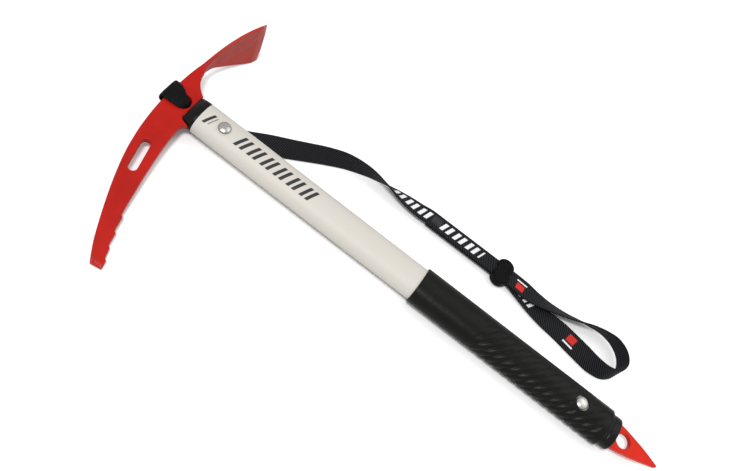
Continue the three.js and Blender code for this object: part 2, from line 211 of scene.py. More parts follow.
def loft(rings, looped=False):
    """Faces between rings of as many points, with flat ends unless the rings close on themselves."""
    n = len(rings[0])
    verts = [p for ring in rings for p in ring]
    faces = []
    for i in range(len(rings) if looped else len(rings) - 1):
        a, b = i * n, (i + 1) % len(rings) * n
        faces += [(a + j, a + (j + 1) % n, b + (j + 1) % n, b + j) for j in range(n)]
    if not looped:
        faces += [tuple(range(n)), tuple(range(len(verts) - n, len(verts)))]
    return verts, faces


def oval(half, count=128):
    """Points of the shaft's cross-section, (y, z)."""
    points = []
    for i in range(count):
        angle = 2 * math.pi * i / count
        c, s = math.cos(angle), math.sin(angle)
        y = math.copysign(half[0] * abs(c) ** (2 / OVAL_POWER), c)
        z = math.copysign(half[1] * abs(s) ** (2 / OVAL_POWER), s)
        points.append((y, z))
    return points


def shrunk(half, by):
    return half[0] - by, half[1] - by


def oval_body(stations, count=128):
    """Rings of the oval section: stations are (x, half size)."""
    return [[(x, y, z) for y, z in oval(half, count)] for x, half in stations]


def lathe(profile, sides=64):
    """Turns (radius, height) points about the z axis; the first and last are on it."""
    verts = [(0, 0, profile[0][1])]
    faces = []
    for r, h in profile[1:-1]:
        verts += [(r * math.cos(2 * math.pi * j / sides), r * math.sin(2 * math.pi * j / sides), h)
                  for j in range(sides)]
    verts.append((0, 0, profile[-1][1]))
    last = len(verts) - 1
    rows = len(profile) - 2
    for j in range(sides):
        k = (j + 1) % sides
        faces.append((0, 1 + k, 1 + j))
        for i in range(rows - 1):
            a, b = 1 + i * sides, 1 + (i + 1) * sides
            faces.append((a + j, a + k, b + k, b + j))
        faces.append((last, 1 + (rows - 1) * sides + j, 1 + (rows - 1) * sides + k))
    return verts, faces


def box_mesh(x, y, z):
    """A box from its (low, high) reach along each axis."""
    corners = [(a, b, c) for a in x for b in y for c in z]
    faces = [(0, 1, 3, 2), (4, 6, 7, 5), (0, 4, 5, 1), (2, 3, 7, 6), (0, 2, 6, 4), (1, 5, 7, 3)]
    return corners, faces


def plate(name, loops, thickness, bevel):
    """A plate with holes and rounded edges, from outlines in x and y."""
    curve = bpy.data.curves.new(name, "CURVE")
    curve.dimensions = "2D"
    curve.fill_mode = "BOTH"
    curve.extrude = thickness / 2 - bevel
    curve.bevel_depth = bevel
    curve.bevel_resolution = 2
    curve.offset = -bevel
    for loop in loops:
        spline = curve.splines.new("POLY")
        spline.points.add(len(loop) - 1)
        spline.use_cyclic_u = True
        for point, (x, y) in zip(spline.points, loop):
            point.co = (x, y, 0, 1)
    shape = bpy.data.objects.new(name, curve)
    bpy.context.scene.collection.objects.link(shape)
    bpy.context.view_layer.update()
    mesh = bpy.data.meshes.new_from_object(shape.evaluated_get(bpy.context.evaluated_depsgraph_get()))
    verts = [tuple(v.co) for v in mesh.vertices]
    faces = [tuple(p.vertices) for p in mesh.polygons]
    bpy.data.objects.remove(shape)
    bpy.data.meshes.remove(mesh)
    bpy.data.curves.remove(curve)
    return verts, faces


def joined(*parts):
    """One mesh from several, each as verts and faces."""
    verts, faces = [], []
    for part_verts, part_faces in parts:
        start = len(verts)
        verts += part_verts
        faces += [tuple(i + start for i in face) for face in part_faces]
    return verts, faces


def apply_modifiers(obj):
    bpy.context.view_layer.update()
    mesh = bpy.data.meshes.new_from_object(obj.evaluated_get(bpy.context.evaluated_depsgraph_get()))
    old = obj.data
    obj.modifiers.clear()
    obj.data = mesh
    bpy.data.meshes.remove(old)


def cut(obj, *tools):
    """Takes closed tools, as verts and faces in mm, out of an object drawn in mm."""
    for verts, faces in tools:
        tool = add("tool", verts, faces, scale=1)
        modifier = obj.modifiers.new("cut", "BOOLEAN")
        modifier.operation = "DIFFERENCE"
        modifier.solver = "EXACT"
        modifier.object = tool
        apply_modifiers(obj)
        bpy.data.objects.remove(tool)


def smooth(obj, *passes):
    """Rounds a mesh off in passes of (rounds, share); share, if given, says how much of one a point gets."""
    for rounds, share in passes:
        modifier = obj.modifiers.new("round", "SMOOTH")
        modifier.factor = 0.5
        modifier.iterations = rounds
        if share:
            group = obj.vertex_groups.new(name=modifier.name)
            for v in obj.data.vertices:
                weight = share(v.co)
                if weight > 0:
                    group.add([v.index], weight, "REPLACE")
            modifier.vertex_group = group.name
    apply_modifiers(obj)
    obj.vertex_groups.clear()


def forged(name, shape, voxel, tools=(), blend=None, passes=((2, None),), place=TOOL):
    """One skin over closed shapes in mm, smoothed by the blend pass, if any, and then by the others."""
    obj = add(name, *shape, scale=1)
    cut(obj, *tools)
    modifier = obj.modifiers.new("skin", "REMESH")
    modifier.mode = "VOXEL"
    modifier.voxel_size = voxel
    modifier.adaptivity = 0
    modifier.use_smooth_shade = True
    apply_modifiers(obj)
    if blend:
        smooth(obj, blend)
    smooth(obj, *passes)
    obj.data.transform(Matrix.Scale(MM, 4))
    tidy(obj)
    obj.data.transform(place)
    return obj


def arc(cx, cy, r, start, end, count):
    angles = [start + (end - start) * i / count for i in range(count + 1)]
    return [(cx + r * math.cos(angle), cy + r * math.sin(angle)) for angle in angles]


def circle(cx, cy, r, count=72):
    return arc(cx, cy, r, 0, 2 * math.pi * (count - 1) / count, count - 1)


def rod(x, y, r, reach, sides=64):
    """Closed cylinder along z, for cutting."""
    return loft([[(px, py, z) for px, py in circle(x, y, r, sides)] for z in (-reach, reach)])


def smoothstep(low, high, value):
    t = min(max((value - low) / (high - low), 0), 1)
    return t * t * (3 - 2 * t)


def hermite(a, b, leave, arrive, t):
    """The cubic from a to b with these speeds at its ends; t runs from 0 to 1."""
    cubic = 2 * a - 2 * b + leave + arrive
    square = 3 * b - 3 * a - 2 * leave - arrive
    return cubic * t ** 3 + square * t ** 2 + leave * t + a


class Outline:
    """Points of a flat outline, drawn as a pen would."""

    def __init__(self, x, y):
        self.points = [(x, y)]

    def line(self, x, y):
        self.points.append((x, y))
        return self

    def curve(self, *controls, count=24):
        """A Bezier curve through two or three control points from the last point."""
        points = [Vector(p) for p in (self.points[-1], *controls)]
        for i in range(1, count + 1):
            level = points
            while len(level) > 1:
                level = [a.lerp(b, i / count) for a, b in zip(level, level[1:])]
            self.points.append(tuple(level[0]))
        return self

    def spline(self, *through, count=12):
        """A Catmull-Rom curve from the last point through these."""
        points = [Vector(p) for p in (self.points[-1], *through)]
        for i in range(len(points) - 1):
            p0, p1, p2 = points[max(i - 1, 0)], points[i], points[i + 1]
            p3 = points[min(i + 2, len(points) - 1)]
            leave, arrive = (p2 - p0) / 2, (p3 - p1) / 2
            self.points += [tuple(hermite(p1, p2, leave, arrive, j / count)) for j in range(1, count + 1)]
        return self


# ================================================================ leash geometry
def straight_stops(layer):
    """The doubled stretch: its upper layer is +1 and its lower one -1."""
    tilt = math.radians(LEASH_TILT)
    y = LEASH_LINE[0] + layer * LAYER_OFFSET * math.sin(tilt)
    z = LEASH_LINE[1] + layer * LAYER_OFFSET * math.cos(tilt)
    stops = [(x, y, z, 180 - layer * LEASH_TILT) for x in STRAIGHT_X]
    return stops if layer > 0 else stops[::-1]


def centripetal(stops, t):
    """A point, and its roll, on the centripetal Catmull-Rom curve through the stops; t runs from 0 to 1."""
    place = t * (len(stops) - 1)
    i = min(int(place), len(stops) - 2)
    near = [Vector(stop) for stop in stops[max(i - 1, 0):i + 3]]
    if i == 0:
        near.insert(0, 2 * near[0] - near[1])
    if len(near) < 4:
        near.append(2 * near[-1] - near[-2])
    p0, p1, p2, p3 = [stop.xyz for stop in near]
    d0, d1, d2 = (p1 - p0).length ** 0.5, (p2 - p1).length ** 0.5, (p3 - p2).length ** 0.5
    leave = ((p1 - p0) / d0 - (p2 - p0) / (d0 + d1) + (p2 - p1) / d1) * d1
    arrive = ((p2 - p1) / d1 - (p3 - p1) / (d1 + d2) + (p3 - p2) / d2) * d1
    r0, r1, r2, r3 = [stop.w for stop in near]
    roll = hermite(r1, r2, (r2 - r0) / 2, (r3 - r1) / 2, place - i)
    return hermite(p1, p2, leave, arrive, place - i), roll


def strap_stations(stops, step):
    """Evenly spaced (distance, point, width direction, outer normal) along the strap, in mm."""
    fine = [centripetal(stops, i / 6000) for i in range(6001)]
    lengths = [0.0]
    for (a, _), (b, _) in zip(fine, fine[1:]):
        lengths.append(lengths[-1] + (b - a).length)
    count = round(lengths[-1] / step)
    stations, k = [], 0
    for i in range(count + 1):
        s = lengths[-1] * i / count
        while k < len(lengths) - 2 and lengths[k + 1] < s:
            k += 1
        w = (s - lengths[k]) / (lengths[k + 1] - lengths[k])
        point = fine[k][0].lerp(fine[k + 1][0], w)
        roll = math.radians(fine[k][1] * (1 - w) + fine[k + 1][1] * w)
        along = (fine[min(k + 8, 6000)][0] - fine[max(k - 8, 0)][0]).normalized()
        left = Vector((-along.y, along.x, 0)).normalized()
        across = left * math.cos(roll) + along.cross(left) * math.sin(roll)
        stations.append((s, point, across, -along.cross(across)))
    return stations


def strap_section(s, columns=14):
    """Cross-section of the webbing at distance s: (across, out, is it the printed side)."""
    h = STRAP_THICKNESS / 2
    half = STRAP_WIDTH / 2
    points = []
    for side in (1, -1):
        for i in range(columns + 1):
            a = side * half * math.sin(math.pi / 2 * (2 * i / columns - 1)) * 0.985
            edge = abs(a) / half
            wave = math.cos(2 * math.pi * (s - WEAVE_SLANT * a) / WEAVE_PITCH)
            rib = (0.2 if side > 0 else 0.1) * wave
            height = h * (1 - 0.45 * smoothstep(0.93, 1.0, edge))
            height += rib * (1 - smoothstep(0.9, 1, edge))
            height += 0.14 * math.exp(-((edge - 0.93) / 0.03) ** 2)
            points.append((a, side * height, side > 0))
        points.append((side * half, 0, side > 0))
    return points


def chart_strap(obj, marks):
    """Keeps each point's (distance along, place across), in metres, in a map named strap."""
    chart = obj.data.uv_layers.new(name="strap")
    for loop in obj.data.loops:
        chart.data[loop.index].uv = marks[loop.vertex_index]


def strap_mesh(name, stations):
    """The webbing as a closed ribbon. Its unprinted side is charted 0.1 m off to the side."""
    rings, marks = [], []
    for s, point, across, out in stations:
        section = strap_section(s)
        rings.append([point + across * a + out * b for a, b, _ in section])
        marks += [(s * MM, a * MM if printed else a * MM + 0.1) for a, _, printed in section]
    obj = add(name, *loft(rings))
    for face in obj.data.polygons:
        face.use_smooth = len(face.vertices) == 4
    chart_strap(obj, marks)
    return obj


# ================================================================ materials
class Finish:
    """A material written node by node."""

    def __init__(self, name, colour, roughness, specular=0.5, metallic=0.0):
        self.material = bpy.data.materials.new(name)
        self.material.use_nodes = True
        self.tree = self.material.node_tree
        self.shader = self.tree.nodes["Principled BSDF"]
        self.shader.inputs["Base Color"].default_value = (*colour, 1)
        self.shader.inputs["Roughness"].default_value = roughness
        self.shader.inputs["Specular IOR Level"].default_value = specular
        self.shader.inputs["Metallic"].default_value = metallic

    def node(self, kind, inputs=(), **settings):
        made = self.tree.nodes.new("ShaderNode" + kind)
        for key, value in settings.items():
            setattr(made, key, value)
        for socket, value in enumerate(inputs):
            if value is not None:
                self.feed(made.inputs[socket], value)
        return made

    def feed(self, socket, value):
        if isinstance(value, bpy.types.NodeSocket):
            self.tree.links.new(value, socket)
        else:
            socket.default_value = value

    def math(self, operation, a, b=0.0, c=0.0):
        return self.node("Math", (a, b, c), operation=operation).outputs[0]

    def times(self, a, b):
        return self.math("MULTIPLY", a, b)

    def plus(self, a, b):
        return self.math("ADD", a, b)

    def band(self, value, low, high, soft):
        """1 between low and high, 0 outside, with soft edges."""
        rise = self.step(value, low - soft, low + soft)
        fall = self.step(value, high - soft, high + soft)
        return self.math("SUBTRACT", rise, fall)

    def patch(self, u, u_range, v, v_range, soft=0.0002):
        """1 inside a rectangle of u and v, 0 outside."""
        return self.times(self.band(u, *u_range, soft), self.band(v, *v_range, soft))

    def step(self, value, low, high):
        made = self.node("MapRange", interpolation_type="SMOOTHSTEP")
        for socket, given in zip(("Value", "From Min", "From Max"), (value, low, high)):
            self.feed(made.inputs[socket], given)
        return made.outputs["Result"]

    def place(self):
        """Coordinates in the tool frame, in metres."""
        mapping = self.node("Mapping", (self.node("TexCoord").outputs["Object"],), vector_type="TEXTURE")
        mapping.inputs["Location"].default_value = TOOL.to_translation()
        mapping.inputs["Rotation"].default_value = TOOL.to_euler()
        return mapping.outputs[0]

    def axes(self, vector):
        return self.node("SeparateXYZ", (vector,)).outputs

    def noise(self, scale, detail=3.0, roughness=0.5, stretch=None):
        vector = self.place()
        if stretch:
            mapping = self.node("Mapping", (vector,))
            mapping.inputs["Scale"].default_value = stretch
            vector = mapping.outputs[0]
        made = self.node("TexNoise")
        self.feed(made.inputs["Vector"], vector)
        made.inputs["Scale"].default_value = scale
        made.inputs["Detail"].default_value = detail
        made.inputs["Roughness"].default_value = roughness
        return made.outputs[0]

    def mix(self, factor, a, b):
        made = self.node("Mix", data_type="RGBA")
        self.feed(made.inputs[0], factor)
        for socket, value in ((6, a), (7, b)):
            self.feed(made.inputs[socket], value if isinstance(value, bpy.types.NodeSocket) else (*value, 1))
        return made.outputs[2]

    def colour_to(self, socket):
        self.feed(self.shader.inputs["Base Color"], socket)

    def roughness_to(self, value, low, high):
        made = self.node("MapRange")
        for name, given in zip(("Value", "To Min", "To Max"), (value, low, high)):
            self.feed(made.inputs[name], given)
        self.feed(self.shader.inputs["Roughness"], made.outputs["Result"])

    def bump(self, *heights):
        """heights are (height socket, depth in metres)."""
        normal = None
        for height, depth in heights:
            made = self.node("Bump")
            made.inputs["Strength"].default_value = 1.0
            made.inputs["Distance"].default_value = depth
            self.feed(made.inputs["Height"], height)
            if normal:
                self.feed(made.inputs["Normal"], normal)
            normal = made.outputs[0]
        self.feed(self.shader.inputs["Normal"], normal)


def tint(colour, by):
    return tuple(min(max(c * by, 0), 1) for c in colour)


def red_paint(name, colour, worn):
    """Satin powder coat on forged steel: fine orange peel, cloudy tone, small scuffs."""
    f = Finish(name, colour, 0.42, 0.12)
    cloud = f.noise(38, 4, 0.6)
    base = f.mix(f.step(cloud, 0.35, 0.7), tint(colour, 0.9), tint(colour, 1.08))
    speck = f.step(f.noise(1500, 2, 0.5), 0.64, 0.72)
    base = f.mix(f.times(speck, 0.25), base, tint(colour, 0.6))
    scratch = f.noise(130, 5, 0.7, stretch=(1, 7, 3))
    scuff = f.times(f.step(scratch, 0.69, 0.76), f.step(f.noise(22, 2), 0.5, 0.65))
    base = f.mix(f.times(scuff, worn), base, (0.42, 0.2, 0.15))
    f.colour_to(base)
    f.roughness_to(f.noise(90, 4, 0.6), 0.34, 0.56)
    f.bump((f.noise(900, 3, 0.5), 0.00007), (f.noise(150, 2, 0.5), 0.00018), (scratch, 0.00004))
    return f


def adze_paint(colour):
    """The head's coat, with painted shade over the adze as a duller, browner tone, rubbed to bare steel along
    its cutting edge.
    """
    f = red_paint("painted_head", colour, 0.5)
    y, z = f.axes(f.place())[1:3]
    head = f.shader.inputs["Base Color"].links[0].from_socket
    # Painted shade: the adze is mixed towards brown to stand for the shade it lies in.
    adze_shade = f.step(y, *ADZE_SHADE_REACH)
    brown = f.mix(f.noise(70, 4, 0.6), (0.26, 0.028, 0.018), (0.33, 0.045, 0.028))
    base = f.mix(f.times(adze_shade, 0.55), head, brown)
    bow = f.times(f.times(z, z), 6.2)
    edge = f.plus(y, bow)
    rough_edge = f.plus(edge, f.times(f.math("SUBTRACT", f.noise(260, 4, 0.7), 0.5), 0.003))
    worn = f.times(f.step(rough_edge, *WORN_EDGE), 0.5)
    base = f.mix(worn, base, f.mix(f.noise(600, 3), (0.30, 0.16, 0.13), (0.42, 0.33, 0.30)))
    tip = f.step(f.times(y, -1.0), *WORN_TIP)
    chip = f.times(tip, f.step(f.noise(420, 4, 0.7), 0.46, 0.6))
    base = f.mix(f.times(chip, 0.2), base, (0.32, 0.27, 0.25))
    f.colour_to(base)
    return f.material


def white_coat():
    """Warm white satin coat on the tube with plain slanted bars and a small plain mark."""
    white = (0.435, 0.415, 0.375)
    f = Finish("painted_shaft", white, 0.4, 0.25)
    x, y, z = f.axes(f.place())[:3]
    cloud = f.noise(14, 3, 0.5, stretch=(0.35, 1, 1))
    base = f.mix(cloud, tint(white, 0.96), tint(white, 1.04))
    fleck = f.step(f.noise(1300, 2, 0.5), 0.66, 0.74)
    base = f.mix(f.times(fleck, 0.22), base, tint(white, 0.72))
    dirt = f.times(f.step(f.noise(60, 5, 0.7), 0.58, 0.74), 0.16)
    base = f.mix(dirt, base, (0.33, 0.3, 0.25))
    rim = f.times(f.step(f.times(x, -1.0), -0.0383, -0.0376), f.noise(300, 3, 0.6))
    base = f.mix(rim, base, (0.5, 0.49, 0.47))
    shift = f.math("MULTIPLY_ADD", y, -SHAFT_BAR_SLANT, x)
    beat = f.math("FRACT", f.math("DIVIDE", f.math("SUBTRACT", shift, SHAFT_BAR_START), SHAFT_BAR_PITCH))
    bars = f.plus(f.band(beat, 0.03, 0.27, 0.02), f.band(beat, 0.46, 0.70, 0.02))
    ink = f.times(bars, f.patch(shift, SHAFT_BARS[0], y, SHAFT_BARS[1]))
    mark = f.patch(shift, SHAFT_MARK[0], y, SHAFT_MARK[1])
    dash = f.patch(shift, SHAFT_DASH[0], y, SHAFT_DASH[1])
    ink = f.plus(ink, f.plus(mark, f.times(dash, 0.7)))
    ink = f.times(ink, f.step(z, 0.0, 0.002))
    thin = f.math("SUBTRACT", 1.0, f.times(f.step(f.noise(900, 3, 0.6), 0.62, 0.75), 0.35))
    f.colour_to(f.mix(f.times(ink, thin), base, (0.018, 0.017, 0.02)))
    f.roughness_to(f.noise(70, 4, 0.6), 0.42, 0.58)
    ripple = f.noise(40, 2, 0.5, stretch=(0.3, 1, 1))
    f.bump((f.noise(1100, 2, 0.5), 0.00004), (ripple, 0.00025), (ink, 0.00003))
    return f.material


def rubber():
    """Matt moulded rubber: fine grain, dust in the grooves, polished crests."""
    f = Finish("grip_rubber", (0.006, 0.0058, 0.0055), 0.5, 0.08)
    groove = f.node("Attribute", attribute_name="groove").outputs["Fac"]
    grain = f.noise(1700, 3, 0.6)
    dust = f.step(f.noise(75, 5, 0.65), 0.5, 0.75)
    base = f.mix(f.noise(30, 3, 0.5), (0.0042, 0.0041, 0.0039), (0.0074, 0.0071, 0.0067))
    base = f.mix(f.times(dust, 0.2), base, (0.017, 0.016, 0.015))
    base = f.mix(f.times(f.times(groove, dust), 0.5), base, (0.017, 0.016, 0.015))
    f.colour_to(base)
    shine = f.plus(f.times(groove, 0.45), f.times(f.noise(220, 3, 0.6), 0.55))
    f.roughness_to(shine, 0.24, 0.5)
    f.bump((grain, 0.00006), (f.noise(260, 3, 0.6), 0.00012), (f.noise(45, 2, 0.5), 0.0003))
    return f.material


def plastic(name, colour, low, high, specular):
    """Moulded black plastic with a fine spark-eroded grain and handling marks."""
    f = Finish(name, colour, low, specular)
    base = f.mix(f.noise(60, 3, 0.6), tint(colour, 0.8), tint(colour, 1.25))
    mark = f.times(f.step(f.noise(240, 5, 0.7, stretch=(1, 5, 2)), 0.64, 0.72), 0.3)
    f.colour_to(f.mix(mark, base, (0.02, 0.02, 0.02)))
    f.roughness_to(f.noise(160, 4, 0.6), low, high)
    f.bump((f.noise(2200, 2, 0.5), 0.00004), (f.noise(300, 3, 0.6), 0.00006))
    return f.material


def steel():
    """Bright turned steel: faint rings about the rivet's axis, small dings and a stained rim."""
    f = Finish("rivet_steel", (0.66, 0.65, 0.63), 0.24, 0.5, 1.0)
    x, y = f.axes(f.place())[:2]
    off = [f.math("ABSOLUTE", f.math("SUBTRACT", x, place * MM)) for place in RIVET_PLACES.values()]
    nearest = f.math("MINIMUM", *off)
    radius = f.math("SQRT", f.plus(f.times(nearest, nearest), f.times(y, y)))
    rings = f.math("SINE", f.times(radius, 30000.0))
    stain = f.step(radius, 0.0044, 0.0060)
    base = f.mix(f.noise(420, 4, 0.7), (0.34, 0.33, 0.31), (0.52, 0.51, 0.49))
    f.colour_to(f.mix(f.times(stain, 0.6), base, (0.2, 0.18, 0.15)))
    f.roughness_to(f.noise(600, 4, 0.7), 0.16, 0.38)
    f.bump((rings, 0.000006), (f.noise(500, 3, 0.6), 0.00009))
    return f.material


def woven(f):
    """Distance along the strap, place across it, and height of its twill, slanted ribs broken into threads."""
    distance, across = f.axes(f.node("UVMap", uv_map="strap").outputs[0])[:2]
    column = f.times(across, WEAVE_COLUMNS / (STRAP_WIDTH * MM))
    row = f.math("DIVIDE", f.math("MULTIPLY_ADD", across, -WEAVE_SLANT, distance), WEAVE_PITCH * MM)
    rib = f.math("MULTIPLY_ADD", f.math("COSINE", f.times(row, 2 * math.pi)), 0.5, 0.5)
    thread = f.math("ABSOLUTE", f.math("SINE", f.times(column, math.pi)))
    broken = f.math("MULTIPLY_ADD", f.math("POWER", thread, 0.5), 0.35, 0.65)
    return distance, across, f.times(f.math("POWER", rib, 1.2), broken)


def webbing(marks):
    """Black woven tape. marks gives distances along it, in metres, of its plain printed bars and blocks."""
    f = Finish("webbing", (0.008, 0.008, 0.01), 0.62, 0.05)
    s, t, height = woven(f)
    printed = f.math("SUBTRACT", 1.0, f.step(t, 0.0499, 0.0501))
    fibre = f.noise(3200, 2, 0.6)
    # Painted highlight and shade: the weave's crests are coloured lighter and its grooves near black.
    base = f.mix(height, (0.0006, 0.0006, 0.0008), (0.026, 0.0265, 0.031))
    base = f.mix(f.times(f.step(fibre, 0.5, 0.8), 0.2), base, (0.022, 0.023, 0.026))
    dust = f.step(f.noise(50, 4, 0.6), 0.55, 0.75)
    base = f.mix(f.times(dust, 0.2), base, (0.012, 0.012, 0.012))
    slant = f.math("MULTIPLY_ADD", t, STRAP_BAR_SLANT, s)
    white = None
    for start, end, pitch in marks["bars"]:
        beat = f.math("FRACT", f.math("DIVIDE", f.math("SUBTRACT", slant, start), pitch))
        bars = f.plus(f.band(beat, 0.04, 0.30, 0.02), f.band(beat, 0.5, 0.76, 0.02))
        bars = f.times(bars, f.patch(slant, (start, end), t, STRAP_BARS_ACROSS))
        white = f.plus(white, bars) if white else bars
    red = None
    for middle in marks["blocks"]:
        block = f.patch(s, (middle - BLOCK["half"], middle + BLOCK["half"]), t, BLOCK["across"])
        red = f.plus(red, block) if red else block
        line = f.patch(s, (middle - LINE["half"], middle + LINE["half"]), t, LINE["across"])
        white = f.plus(white, line)
    cover = f.times(printed, f.math("MULTIPLY_ADD", f.step(height, 0.05, 0.4), 0.2, 0.8))
    base = f.mix(f.times(white, cover), base, (0.68, 0.68, 0.69))
    base = f.mix(f.times(red, cover), base, (0.5, 0.028, 0.022))
    f.colour_to(base)
    f.roughness_to(fibre, 0.5, 0.75)
    f.bump((height, 0.0003), (fibre, 0.00005))
    f.shader.inputs["Sheen Weight"].default_value = 0.02
    f.shader.inputs["Sheen Roughness"].default_value = 0.45
    return f.material


def anchor_cloth():
    """The anchor's tape, pulled tight: close threads along it, rubbed smooth and slightly dusty."""
    f = Finish("anchor_webbing", (0.005, 0.005, 0.0055), 0.55, 0.06)
    height = woven(f)[2]
    fibre = f.noise(2600, 3, 0.6)
    # Painted highlight and shade: the threads' crests are coloured lighter and the grooves between them
    # darker.
    base = f.mix(height, (0.001, 0.001, 0.0012), (0.0065, 0.0065, 0.0072))
    base = f.mix(f.times(f.step(f.noise(90, 4, 0.6), 0.5, 0.72), 0.3), base, (0.013, 0.013, 0.013))
    f.colour_to(base)
    f.roughness_to(fibre, 0.48, 0.72)
    f.bump((height, 0.00012), (fibre, 0.00005), (f.noise(160, 3, 0.6), 0.0002))
    return f.material


def thread_finish():
    f = Finish("thread", (0.02, 0.02, 0.022), 0.5, 0.35)
    twist = f.noise(2600, 2, 0.6, stretch=(1, 3, 1))
    f.colour_to(f.mix(twist, (0.008, 0.008, 0.009), (0.05, 0.05, 0.054)))
    f.roughness_to(twist, 0.4, 0.65)
    f.bump((twist, 0.00008))
    return f.material


def dress(obj, material, body, slot, *nodes):
    """Gives a piece its material, the body it rides on and the CAD nodes it stands for; slot is not used."""
    obj.data.materials.clear()
    obj.data.materials.append(material)
    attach(obj, body)
    if nodes:
        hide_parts(*nodes)
    return obj


# ================================================================ camera and leash
def make_camera():
    data = bpy.data.cameras.new("camera")
    data.lens = CAMERA_LENS
    data.sensor_width = 36
    data.clip_start = 0.01
    camera = bpy.data.objects.new("camera", data)
    bpy.context.scene.collection.objects.link(camera)
    right, up = Vector(CAMERA_RIGHT), Vector(CAMERA_UP)
    place = Matrix((right, up, right.cross(up))).transposed().to_4x4()
    place.translation = CAMERA_PLACE
    camera.matrix_world = place
    bpy.context.scene.camera = camera


def distance_at(stations, x, after=0.0):
    """Distance along the strap, in metres, of the station nearest to x beyond a distance in mm."""
    return min((s for s in stations if s[0] >= after), key=lambda s: abs(s[1].x - x))[0] * MM


make_camera()
route = [*LEASH_ROUTE, *straight_stops(1), *LOOP_ROUTE, *straight_stops(-1)]
stations = strap_stations(route, STRAP_STEP)
turn = max(stations, key=lambda s: s[1].x)[0]
# The return strand goes into the keeper. From there it lies flat under the upper strand, sewn down.
tuck = next(i for i, s in enumerate(stations) if s[0] > turn and s[1].x < TUCK_X)
leash = strap_mesh("leash_strap", stations[:tuck + 1])
tail = strap_mesh("leash_tail", stations[tuck:])
upper = [s for s in stations if s[0] < turn]
# Where the prints are, found from x in mm; a pitch is in metres.
strap_marks = {
    "bars": [
        (distance_at(upper, -60), distance_at(upper, -15), 0.0152),
        (distance_at(upper, -4), distance_at(upper, 44), 0.0152),
        (distance_at(stations, 112, turn), distance_at(stations, 95, turn), 0.013),
    ],
    "blocks": [distance_at(upper, 91), distance_at(stations, 158, turn)],
}
WEBBING = webbing(strap_marks)
dress(leash, WEBBING, "axe", "webbing", "leash_webbing")
dress(tail, WEBBING, "axe", "webbing", "leash_webbing")


# ================================================================ tool pieces
def head_outline():
    pen = Outline(1.7, 39).curve((0.3, 22), (0.3, 0)).curve((0.3, -22), (5.6, -49))
    pen.spline((10.8, -69.3), (17.8, -89.3), (26.2, -109.4), (35.6, -129.5), (46.1, -149.9), (56.7, -166.6))
    pen.line(67.2, -164.8)
    for x, y in TOOTH_CRESTS:
        pen.line(x, y).line(x + TOOTH_STEP[0], y + TOOTH_STEP[1])
    pen.spline((41, -91), (36, -68), (31.2, -41), (29.4, -23.5)).curve((29.1, -18), (34.2, -16.5))
    pen.line(31, -15.4).line(26.6, -14).line(25, -12).line(25, -TANG_HALF_WIDTH)
    pen.line(TANG_END, -TANG_HALF_WIDTH).line(TANG_END, TANG_HALF_WIDTH)
    pen.line(25, TANG_HALF_WIDTH).line(25, 16.9).curve((18.2, 20.4), (10.9, 27.6), (9.4, 39))
    return pen.points


def slot_outline(start, end, radius):
    a, b = Vector(start), Vector(end)
    angle = math.atan2(b.y - a.y, b.x - a.x)
    return (arc(a.x, a.y, radius, angle + math.pi / 2, angle + 1.5 * math.pi, 20)
            + arc(b.x, b.y, radius, angle - math.pi / 2, angle + math.pi / 2, 20))


def adze_blade(rows=64, columns=40):
    """The adze: a block bent along its length, widened from the neck, cupped and sharpened."""
    def point(s, across, depth):
        """s runs along the blade, across from edge to edge (-1 to 1), depth through it."""
        grow = 0.88 * math.sin(math.pi / 2 * s) ** 1.4 + 0.12 * s ** 4
        half = ADZE["neck"] + (ADZE["edge"] - ADZE["neck"]) * grow
        along = s * ADZE["length"] + ADZE["crown"] * s ** 3 * (1 - across ** 2)
        shoulder = (HEAD_THICKNESS - ADZE["thickness"]) * (1 - min(s / 0.3, 1)) ** 1.5
        thick = (ADZE["thickness"] + shoulder) * (1 - 0.65 * max(0, (s - 0.9) / 0.1))
        slope = math.atan(ADZE_DROOP["slope"] + 2 * ADZE_DROOP["bend"] * along)
        droop = ADZE_DROOP["start"] + ADZE_DROOP["slope"] * along + ADZE_DROOP["bend"] * along ** 2
        x = droop + ADZE["cup"] * s * (across ** 2 - 1) + depth * thick * math.cos(slope)
        return x, ADZE["start"] + along - depth * thick * math.sin(slope), across * half

    rings = []
    for i in range(rows + 1):
        outer = [point(i / rows, 2 * j / columns - 1, 0) for j in range(columns + 1)]
        inner = [point(i / rows, 1 - 2 * j / columns, 1) for j in range(columns + 1)]
        rings.append(outer + inner)
    return loft(rings)


def pick_thinning(y):
    """Share of the head's thickness lost at y, towards the pick's tip."""
    share = max(0, min(1, (PICK_TAPER["start"] - y) / PICK_TAPER["length"]))
    return share * (HEAD_THICKNESS - PICK_TAPER["tip_thickness"]) / HEAD_THICKNESS


def make_head():
    def neck(p):
        return smoothstep(30, 37, p.y) * (1 - smoothstep(44, 66, p.y))

    def before_neck(p):
        return 1.0 if p.y < 34 else 0.0

    rivet = circle(RIVET_PLACES["head_rivet"], 0, RIVET_BORE)
    loops = [head_outline(), circle(*HEAD_HOLE), slot_outline(*PICK_SLOT), rivet]
    verts, faces = plate("head", loops, HEAD_THICKNESS, HEAD_BEVEL)
    tapered = [(x, y, z * (1 - pick_thinning(y))) for x, y, z in verts]
    shape = joined((tapered, faces), adze_blade())
    return forged("axe_head", shape, 0.5, blend=(26, neck), passes=((2, None), (7, before_neck)))


def make_tube():
    outer, inner = TUBE_OVAL, shrunk(TUBE_OVAL, TUBE_WALL)
    a, b = TUBE
    stations = [(a, shrunk(outer, 0.5)), (a + 0.15, shrunk(outer, 0.15)), (a + 0.5, outer)]
    stations += [(a + 0.5 + (b - a - 1) * i / 60, outer) for i in range(1, 60)]
    stations += [(b - 0.5, outer), (b, shrunk(outer, 0.4)), (b, inner), (a, inner)]
    return add("shaft", *loft(oval_body(stations), looped=True), place=TOOL)


